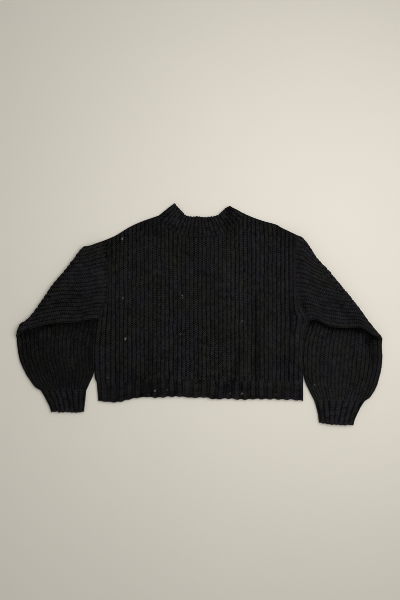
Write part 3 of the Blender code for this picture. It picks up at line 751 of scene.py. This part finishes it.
sleeve = {
    # The edges of each sleeve, a row for each section: overarm x, y, below; underarm x, y, below, where
    # below is 0 above the fold and 1 under it.
    "sections": {
        "right": [
            (-236.2, 190.5, 0, -257.8, -11.9, 0), (-262, 180.4, 0, -281, -13.5, 0),
            (-286, 172.8, 0, -318, -20.8, 0), (-287, 118, 1, -362, -22.6, 0),
            (-282.5, 62, 1, -408, -31.8, 0), (-259.5, 10, 1, -453, -51, 0),
            (-258.6, -22, 1, -465, -74, 1), (-266, -54, 1, -463, -92, 1),
            (-270.6, -96, 1, -457.6, -118, 1), (-269.4, -146, 1, -441.5, -153, 1),
            (-281.5, -177, 1, -421.5, -182, 1), (-288.2, -192.6, 1, -405, -193.4, 1),
        ],
        "left": [
            (245.1, 200.7, 0, 278.1, -14.5, 0), (263, 192, 0, 296, -15.2, 0),
            (280, 176, 0, 330, -31, 0), (290, 122, 1, 372, -34.6, 0),
            (291, 66, 1, 412, -33.2, 0), (282, 8, 1, 449, -56, 0),
            (275.8, -23, 1, 463, -84, 1), (266, -56, 1, 464, -106, 1),
            (260.2, -104, 1, 460.8, -140, 1), (263.2, -158, 1, 449.5, -182, 1),
            (276.5, -192, 1, 434.5, -208, 1), (289.8, -217.5, 1, 419, -219.5, 1),
        ],
    },
    # Two points of the line where each sleeve turns under
    "fold": {
        "right": ((-304.8, 163.3), (-426.7, 0.8)),
        "left": ((278.9, 174.8), (450.3, -37.4)),
    },
    "foldZone": 7.5,  # flat length on each side of that line that goes round the roll
    # How far the roll stands out past the line: place along it, reach, width
    "roll": {
        "right": [(1.2, 9.0, 0.09), (0.58, 3.0, 0.2)],
        "left": [(0.14, -5.0, 0.11), (0.42, -3.3, 0.33), (0.95, -4.8, 0.2)],
    },
    "rollSpread": 30.0,
    "rollStart": 1.5,  # sections until that reach is whole
    # Sections until the sleeve lies on its own lower stretch: place across, sections
    "rise": {
        "right": [(0.0, 1.45), (1.0, 0.7)],
        "left": [(0.0, 0.3), (0.12, 0.8), (0.35, 1.3), (1.0, 0.6)],
    },
    "armholeFade": 3.0,  # sections until the bend of the armhole has died out
    # The lower stretch sinks beside the upper one's edge: how far below it the most, over what length, and
    # by what share of its thickness
    "sink": {"right": (7.0, 18.0, 0.62), "left": (5.0, 12.0, 0.50)},
    # Painted shadow on that stretch: how much darker it is right under the upper one's edge, over what
    # length, and painted shade all over it
    "shade": {"right": (0.30, 11.0, 0.15), "left": (0.62, 13.0, 0.0)},
    "upperSections": 6,  # the sections whose underarm point is on that edge
    "measured": (9, 400, 121),  # places across, fine steps along and even steps that lengths are read at
    "columns": 40,  # columns of stitches round the sleeve
    "courses": 76,
    "seed": {"right": 23, "left": 29},
}


# A point of the fold, the way along it and the way out across it.
def foldFrame(side):
    start, end = (np.array(point) for point in sleeve["fold"][side])
    line = (end - start) / np.linalg.norm(end - start)
    out = -sides[side] * np.array((line[1], -line[0]))
    return start - cloth["wall"] / 2 * out, line, out


# Each section's overarm and underarm points, those under the fold swung out flat: mirrored in its line.
def unfoldedEdges(side):
    start, _, out = foldFrame(side)
    table = np.array(sleeve["sections"][side], float)
    edges = []
    for first in (0, 3):
        points, below = table[:, first:first + 2], table[:, first + 2]
        past = (points - start) @ out
        edges.append(points - 2 * (below * past)[:, None] * out)
    return edges


# The sleeve swung out flat: straight lines from overarm to underarm, bent at first to follow the armhole.
def sleeveFlat(side, place, station):
    over, under = unfoldedEdges(side)
    first, last = smoothRows(over, station), smoothRows(under, station)
    straight = first + (last - first) * place[..., None]
    armhole = along(outline["armhole"][side][::-1], np.clip(place, 0, 1))
    bow = armhole - (over[0] + (under[0] - over[0]) * place[..., None])
    bow[..., 0] += sides[side] * cloth["seamGap"]
    return straight + bow * (1 - blend(station / sleeve["armholeFade"]))[..., None]


# Turns the flat sleeve under itself: what lies past the fold goes half round its roll and then back below.
def foldUnder(side, flat, place, station):
    start, line, out = foldFrame(side)
    zone = sleeve["foldZone"]
    past, alongLine = (flat - start) @ out, (flat - start) @ line
    position = alongLine / math.dist(*sleeve["fold"][side])
    reach = np.zeros(past.shape)
    for where, bulge, width in sleeve["roll"][side]:
        reach += bulge * bell(position - where, width)
    reach *= bell(past, sleeve["rollSpread"]) * blend(station / sleeve["rollStart"])
    turn = np.clip((past / zone + 1) * quarter, 0, math.pi)
    beyond = np.maximum(np.abs(past) - zone, 0)
    offset = reach - zone + foldRadius * np.sin(turn) - beyond
    rise = np.array(sleeve["rise"][side])
    onItself = blend(station / np.interp(place, rise[:, 0], rise[:, 1]))
    root = middle + lift(flat[..., 0], flat[..., 1]) - upperLevel
    level = foldAxis + foldRadius * np.cos(turn) + root * (1 - onItself) * (turn <= 0)
    plane = start + alongLine[..., None] * line + offset[..., None] * out
    return np.dstack([plane, level])


# Section numbers at even shares of the sleeve's length, a row for each place across, and those lengths.
def sleeveStations(side):
    acrossCount, fineCount, evenCount = sleeve["measured"]
    places = np.linspace(0, 1, acrossCount)
    stations = np.linspace(0, len(sleeve["sections"][side]) - 1, fineCount)
    even = np.linspace(0, 1, evenCount)
    table, lengths = [], []
    for place in places:
        reached = chainLength(sleeveFlat(side, np.full(stations.shape, place), stations))
        table.append(np.interp(even, reached / reached[-1], stations))
        lengths.append(reached[-1])
    return places, np.array(table), np.array(lengths)


# One sleeve: the sheet's rings run by length from the armhole to the cuff, and section numbers between the
# measured ones are mixed from the four nearest.
def makeSleeve(name, side, material):
    places, table, lengths = sleeveStations(side)
    over, under = unfoldedEdges(side)

    def stationAt(place, ring):
        column = np.clip(place, 0, 1) * (len(places) - 1)
        row = np.clip(ring, 0, 1) * (table.shape[1] - 1)
        i = np.minimum(column.astype(int), len(places) - 2)
        j = np.minimum(row.astype(int), table.shape[1] - 2)
        s, t = column - i, row - j
        near, far = (table[k, j] * (1 - t) + table[k, j + 1] * t for k in (i, i + 1))
        return near * (1 - s) + far * s + (ring - np.clip(ring, 0, 1)) * (len(over) - 1)

    def sheet(place, ring):
        station = stationAt(place, ring)
        return foldUnder(side, sleeveFlat(side, place, station), place, station)

    def widthAt(place, ring):
        station = stationAt(place, ring)
        return np.linalg.norm(smoothRows(over, station) - smoothRows(under, station), axis=-1)

    def lengthAt(place):
        return np.interp(place, places, lengths)

    edge = np.array(sleeve["sections"][side], float)[:sleeve["upperSections"], 3:5]
    edge = edge[np.argsort(edge[:, 0])]
    beside, spread, share = sleeve["sink"][side]
    shadowEdge, shadowSpread, shadeUnder = sleeve["shade"][side]

    # How far the lower stretch sinks beside the upper one's edge, and how much painted shadow darkens it
    # there and painted shade all over it.
    def sinkingAndShadow(point):
        below = np.interp(point[..., 0], edge[:, 0], edge[:, 1]) - point[..., 1]
        under = blend((foldAxis - point[..., 2]) / foldRadius)
        thin = share * bell(below - beside, spread)
        return thin * under, (shadowEdge * bell(below, shadowSpread) + shadeUnder) * under

    across = gridLines(sleeveKnit, sleeve["columns"])
    up = gridLines(fineCourse, sleeve["courses"], lips, lips)
    seed = sleeve["seed"][side]
    base, shaded = tubeSkin(sheet, widthAt, lengthAt, across, up, seed,
                            (cloth["seamRoll"], cloth["joinRoll"]), False, sinkingAndShadow)
    pitch = math.dist(over[0], under[0]) * 2 / sleeve["columns"]
    return knitPiece(name, base, across, up, 1, seed + 1, material, pitch,
                     ("start", "sides"), ("end",), sleeveFolds, shaded)


# A short ribbed tube, open at its far end. Its flat width goes from its near end's to its far end's by the
# share that drawnIn gives.
def ribTube(name, table, counts, seed, sheet, widths, drawnIn, lengthAt, knittedOn, folds, material):
    across = gridLines(table, counts["ribs"])
    up = gridLines(fineCourse, counts["courses"], lips, openLips)
    rolls = (cloth["joinRoll" if knittedOn else "seamRoll"], cloth["wall"] / 2)
    near, far = widths
    base, _ = tubeSkin(sheet, lambda place, ring: near + (far - near) * drawnIn(ring), lengthAt,
                       across, up, seed, rolls, True)
    sewn, knitted = ((), ("start",)) if knittedOn else (("start",), ())
    return knitPiece(name, base, across, up, 1, seed + 1, material, 2 * near / counts["ribs"],
                     sewn, knitted, folds)


cuff = {
    "mouth": {  # the inner and the outer corner of each cuff's open edge
        "right": ((-294.2, -248.4), (-378.5, -249.6)),
        "left": ((302.5, -276.5), (389.6, -282.0)),
    },
    "ribs": 16,
    "courses": 9,
    "drawnIn": 1.4,  # how quickly it draws in below the sleeve: 1 is evenly all the way down
    "seed": {"right": 41, "left": 43},
}


# One cuff: down from the gathered end of the sleeve, drawn in by 1 - (1 - t)^n at a share t of its length.
def makeCuff(name, side, material):
    last = sleeve["sections"][side][-1]
    gap = np.array((0, 2 * cloth["joinGap"]))
    inner, outer = np.array(last[0:2]) - gap, np.array(last[3:5]) - gap
    lowInner, lowOuter = (np.array(point) for point in cuff["mouth"][side])
    seed = cuff["seed"][side]

    def drawnIn(ring):
        return 1 - np.maximum(1 - ring, 0) ** cuff["drawnIn"]

    def sheet(place, ring):
        high = inner + (outer - inner) * place[..., None]
        low = lowInner + (lowOuter - lowInner) * place[..., None]
        low[..., 1] -= ragged(place, cuff["ribs"] / 2, seed)
        drawn = np.stack([drawnIn(ring), ring], axis=-1)
        return np.dstack([high + (low - high) * drawn, np.full(place.shape, middle)])

    widths = math.dist(outer, inner), math.dist(lowOuter, lowInner)
    length = math.dist((inner + outer) / 2, (lowInner + lowOuter) / 2)
    return ribTube(name, cuffRib, cuff, seed, sheet, widths, drawnIn, lambda place: length + 0 * place,
                   True, sleeveFolds, material)


neck = {
    "ribs": 46,
    "courses": 9,
    "raggedShare": 0.5,  # how ragged its open edge is beside the others
    "seed": 53,
}


# The neckband: straight lines from the neck seam up to its open top edge, at the same share of both.
def makeNeckband(name, material):
    seam, top = outline["neckSeam"], outline["neckTop"]

    def sheet(place, ring):
        low, high = along(seam, place), along(top, place)
        run = (high - low) / np.linalg.norm(high - low, axis=-1, keepdims=True)
        low = low + run * cloth["seamGap"]
        wander = neck["raggedShare"] * ragged(place, neck["ribs"] / 2, neck["seed"])
        high = high + run * wander[..., None]
        return np.dstack([low + (high - low) * ring[..., None], np.full(place.shape, middle)])

    def lengthAt(place):
        return np.linalg.norm(along(top, place) - along(seam, place), axis=-1)

    widths = chainLength(seam)[-1], chainLength(top)[-1]
    return ribTube(name, neckRib, neck, neck["seed"], sheet, widths, lambda ring: ring, lengthAt,
                   False, bodyFolds, material)


# Wraps one output of a node. An operator on it adds the Math node that works it out.
class Shade:
    def __init__(self, tree, socket=None):
        self.tree = tree
        self.socket = socket

    # Gives each named input of a node its value or its link.
    def fill(self, made, inputs):
        for name, value in inputs.items():
            if isinstance(value, Shade):
                self.tree.links.new(value.socket, made.inputs[name])
            else:
                made.inputs[name].default_value = value

    # Adds a node: its settings first, then its inputs. Gives one of its outputs.
    def node(self, kind, settings=None, inputs=None, output=0):
        made = self.tree.nodes.new(kind)
        for name, value in (settings or {}).items():
            setattr(made, name, value)
        self.fill(made, inputs or {})
        return Shade(self.tree, made.outputs[output])

    # The second colour over the first one by a factor.
    def mixed(self, factor, first, second):
        return self.node("ShaderNodeMix", {"data_type": "RGBA", "clamp_factor": True},
                         {"Factor": factor, 6: first, 7: second}, output=2)

    def maths(self, operation, first, second):
        return self.node("ShaderNodeMath", {"operation": operation}, {0: first, 1: second})

    def __add__(self, other):
        return self.maths("ADD", self, other)

    __radd__ = __add__

    def __sub__(self, other):
        return self.maths("SUBTRACT", self, other)

    def __rsub__(self, other):
        return self.maths("SUBTRACT", other, self)

    def __mul__(self, other):
        return self.maths("MULTIPLY", self, other)

    __rmul__ = __mul__


# A new material with a bare shader: gives it, the wrapped tree and the shader node.
def newMaterial(name):
    material = bpy.data.materials.new(name)
    material.use_nodes = True
    shader = material.node_tree.nodes["Principled BSDF"]
    return material, Shade(material.node_tree), shader


wool = {
    "cool": (0.0201, 0.0189, 0.0233),  # the crests of the yarn, in patches of either kind
    "warm": (0.0193, 0.0198, 0.0175),
    # painted shade: the colour the yarn is given down in the grooves, holes and creases
    "grooveShade": (0.0005, 0.0005, 0.0006),
    "fluff": (0.42, 0.41, 0.39),
    "grooveShadeRate": 1.1,  # how fast the colour darkens into the grooves
    "grain": 0.6,  # how much the loose fibres mottle it
    "grainNoise": (380.0, 2.0),  # scale and detail, as for the other noises
    "stitchTone": 0.18,  # how much one stitch is lighter or darker than the next
    "cloud": 0.08,  # and patches of the whole garment
    "cloudNoise": (11.0, 4.0),
    "tintNoise": (19.0, 5.0),
    "tintSpread": (4.0, 1.5),  # the noise that mixes cool and warm is multiplied and lowered by these
    "fibreNoise": (1400.0, 3.0),
    "roughness": (0.92, 0.08),  # usual, and how much the fibres vary it
    "sheen": 0.03,
    "sheenRoughness": 0.5,
    "sheenTint": (0.6, 0.6, 0.62, 1.0),
    "specular": 0.03,
    "twistTurns": 5.0,  # turns of the plied yarn along one leg of a stitch
    "twistDistortion": 1.5,
    "relief": (0.6, 0.8),  # shares of the twist and of the fibres in the fine relief
    "bump": 0.00035,
    "bumpStrength": 0.8,
}


# Black wool yarn: painted shade darkens it down in the grooves, holes and creases, and the same attribute
# carries the folds' painted shade and light, the sleeves' painted shadow and the darker seams. Each stitch
# is a little lighter or darker than the next, it is mottled by fibres and cloudy over the garment, and
# plies and fibres make fine relief. The tint scales its crests.
def makeWool(name, tint):
    material, shade, shader = newMaterial(name)
    position = shade.node("ShaderNodeTexCoord", output="Object")
    yarnMap = shade.node("ShaderNodeUVMap", {"uv_map": "yarn"})

    def noise(scale, detail):
        inputs = {"Vector": position, "Scale": scale, "Detail": detail}
        return shade.node("ShaderNodeTexNoise", {}, inputs)

    def attribute(label):
        return shade.node("ShaderNodeAttribute", {"attribute_name": label}, output="Fac")

    fibre = noise(*wool["fibreNoise"])
    # painted shade and darker seams from the depth attribute, less each stitch's random tone, with random
    # cloud and grain
    shadeAndToneMask = wool["grooveShadeRate"] * attribute("depth") - wool["stitchTone"] * attribute("tone")
    shadeAndToneMask = shadeAndToneMask + wool["cloud"] * (noise(*wool["cloudNoise"]) - 0.5)
    shadeAndToneMask = shadeAndToneMask + wool["grain"] * (noise(*wool["grainNoise"]) - 0.5)
    contrast, lower = wool["tintSpread"]
    patch = contrast * noise(*wool["tintNoise"]) - lower
    cool, warm = (tuple(tint * c for c in wool[kind]) + (1.0,) for kind in ("cool", "warm"))
    colour = shade.mixed(shadeAndToneMask, shade.mixed(patch, cool, warm), wool["grooveShade"] + (1.0,))
    colour = shade.mixed(attribute("fluff"), colour, wool["fluff"] + (1.0,))
    usual, vary = wool["roughness"]
    rough = usual + vary * (fibre - 0.5)
    stretched = shade.node("ShaderNodeVectorMath", {"operation": "MULTIPLY"},
                           {0: yarnMap, 1: (2 * wool["twistTurns"], 2.0, 1.0)})
    twist = shade.node("ShaderNodeTexWave", {"bands_direction": "DIAGONAL"},
                       {"Vector": stretched, "Scale": 0.5, "Distortion": wool["twistDistortion"],
                        "Detail": 2.0})
    ofTwist, ofFibre = wool["relief"]
    bump = shade.node("ShaderNodeBump", {}, {"Height": ofTwist * twist + ofFibre * fibre,
                                             "Distance": wool["bump"], "Strength": wool["bumpStrength"]})
    shade.fill(shader, {
        "Base Color": colour, "Roughness": rough, "Normal": bump,
        "Sheen Weight": wool["sheen"], "Sheen Roughness": wool["sheenRoughness"],
        "Sheen Tint": wool["sheenTint"], "Specular IOR Level": wool["specular"],
    })
    return material


room = {
    "floor": (0.78, 0.75, 0.68),
    "floorSize": 40.0,
    "mottle": 0.965,  # brightness of the darker patches beside the others
    "mottleScale": 3.0,
    "floorRoughness": 0.7,
    "floorSpecular": 0.2,
    "key": {"at": (0.42, 0.26, 1.15), "aim": (-0.18, -0.20, 0.0), "size": 1.2, "power": 11.2,
            "colour": (1.0, 0.985, 0.96)},
    "sky": (1.0, 0.975, 0.925, 1.0),
    "skyStrength": 0.40,
    "pixel": 2.54,  # millimetres of the garment's own level to one pixel of the image
    "frameLong": 600,
    "aim": (1.59, 36.05),  # the image's middle on the frame's own x and y
    "level": 6.0,  # the height that the scale holds at
    "lens": 50.0,
    "sensor": 36.0,
    "farthest": 50.0,
    "filterWidth": 0.8,  # a narrow pixel filter keeps single stitches crisp
}


# A wide pale surface with a very faint mottle.
def makeFloor():
    material, shade, shader = newMaterial("pale_floor")
    position = shade.node("ShaderNodeTexCoord", output="Object")
    mottle = shade.node("ShaderNodeTexNoise", {},
                        {"Vector": position, "Scale": room["mottleScale"], "Detail": 3.0})
    darker = tuple(room["mottle"] * c for c in room["floor"]) + (1.0,)
    shade.fill(shader, {
        "Base Color": shade.mixed(mottle, darker, room["floor"] + (1.0,)),
        "Roughness": room["floorRoughness"], "Specular IOR Level": room["floorSpecular"],
    })
    half = room["floorSize"] / 2
    mesh = bpy.data.meshes.new("floor")
    corners = [(-half, -half, 0), (half, -half, 0), (half, half, 0), (-half, half, 0)]
    mesh.from_pydata(corners, [], [(0, 1, 2, 3)])
    mesh.materials.append(material)
    floor = addObject("floor", mesh)
    print("floor laid")


# One large soft lamp from the neck's side, turned to its aim by two angles, and a pale sky all round.
def makeLight():
    key = room["key"]
    lamp = bpy.data.lights.new("softbox", "AREA")
    lamp.shape = "DISK"
    lamp.size = key["size"]
    lamp.energy = key["power"]
    lamp.color = key["colour"]
    holder = addObject("softbox", lamp)
    holder.location = key["at"]
    toward = np.array(key["aim"]) - np.array(key["at"])
    flat = math.hypot(toward[0], toward[1])
    turned = math.atan2(toward[1], toward[0]) - quarter
    holder.rotation_euler = (math.atan2(flat, -toward[2]), 0.0, turned)
    holder.visible_camera = False
    world = bpy.data.worlds.new("studio")
    world.use_nodes = True
    sky = world.node_tree.nodes["Background"]
    sky.inputs["Color"].default_value = room["sky"]
    sky.inputs["Strength"].default_value = room["skyStrength"]
    world.cycles.sampling_method = "NONE"  # an even sky needs no sampling of its own
    bpy.context.scene.world = world
    bpy.context.scene.view_settings.view_transform = "Standard"
    bpy.context.scene.cycles.filter_width = room["filterWidth"]
    print("light set")


# The camera looks straight down. Its height makes one pixel the stated size at the garment's level: that
# size times the image's length in pixels, times lens over sensor.
def makeCamera():
    lens = bpy.data.cameras.new("overhead")
    lens.lens = room["lens"]
    lens.sensor_width = room["sensor"]
    lens.clip_end = room["farthest"]
    camera = addObject("overhead", lens)
    height = room["pixel"] * room["frameLong"] * room["lens"] / room["sensor"] + room["level"]
    camera.location = (room["aim"][0] * mm, room["aim"][1] * mm, height * mm)
    bpy.context.scene.camera = camera
    print("camera", round(height), "mm up")


makeCamera()
makeLight()
makeFloor()

knitWool = makeWool("charcoal_knit", 1.0)
ribWool = makeWool("charcoal_rib", 0.99)

# Each piece with its node, its cut (width and length of the flat cloth in metres, and area), and what it
# lies on
panelCut, hemCut, sleeveCut = ((0.549, 0.428), 0.207), ((0.523, 0.048), 0.0245), ((0.430, 0.470), 0.160)
cuffCut = {"right": ((0.230, 0.058), 0.011), "left": ((0.230, 0.062), 0.0125)}
pieces = [
    (makePanel("front_knit", 1, plainKnit, fineCourse, knitWool), "body_front", panelCut, ["body_back"]),
    (makePanel("back_knit", -1, backKnit, plainCourse, knitWool), "body_back", panelCut, ["floor"]),
    (makeHem("front_hem", 1, fineCourse, ribWool), "hem_rib_front", hemCut, ["hem_rib_back"]),
    (makeHem("back_hem", -1, plainCourse, ribWool), "hem_rib_back", hemCut, ["floor"]),
    (makeNeckband("neck_rib", ribWool), "neckband", ((0.530, 0.060), 0.0225), ["floor"]),
]
for side in sides:
    pieces += [
        (makeSleeve(side + "_sleeve_knit", side, knitWool), "sleeve_" + side, sleeveCut, ["floor"]),
        (makeCuff(side + "_cuff_rib", side, ribWool), "cuff_" + side, cuffCut[side], ["floor"]),
    ]
for piece, node, (flat, area), under in pieces:
    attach(piece, "root")
    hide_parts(node)
